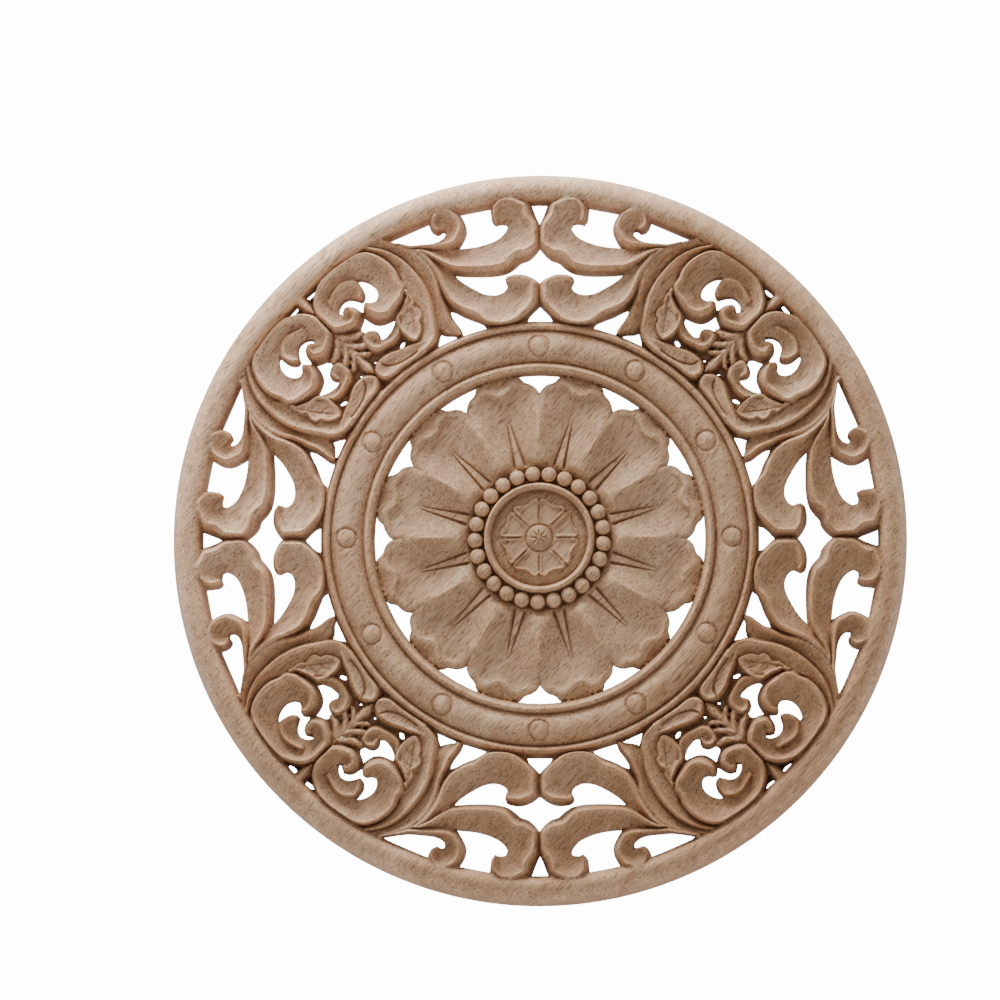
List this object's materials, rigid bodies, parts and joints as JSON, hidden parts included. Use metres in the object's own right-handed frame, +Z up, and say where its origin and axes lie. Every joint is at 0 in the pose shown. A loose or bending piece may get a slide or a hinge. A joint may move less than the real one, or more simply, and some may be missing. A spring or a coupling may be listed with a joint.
{
  "type": "carved wooden applique",
  "caption": "Round openwork wooden applique: flower with a beaded boss inside a buttoned ring, mirrored acanthus scrolls and a rounded rim, flat back for fixing.",
  "frame": {"origin": "centre of the flat back, in the board behind the flower", "axes": "+Y out of the flat back, so the carving faces -Y; +Z up as shown, through a button of the ring; +X to the right seen from the front"},
  "size_m": [0.3, 0.0156, 0.3],
  "materials": {
    "wood": "bare, sanded, matt"
  },
  "bodies": {
    "root": {"carved_roundel": "wood"}
  },
  "joints": []
}
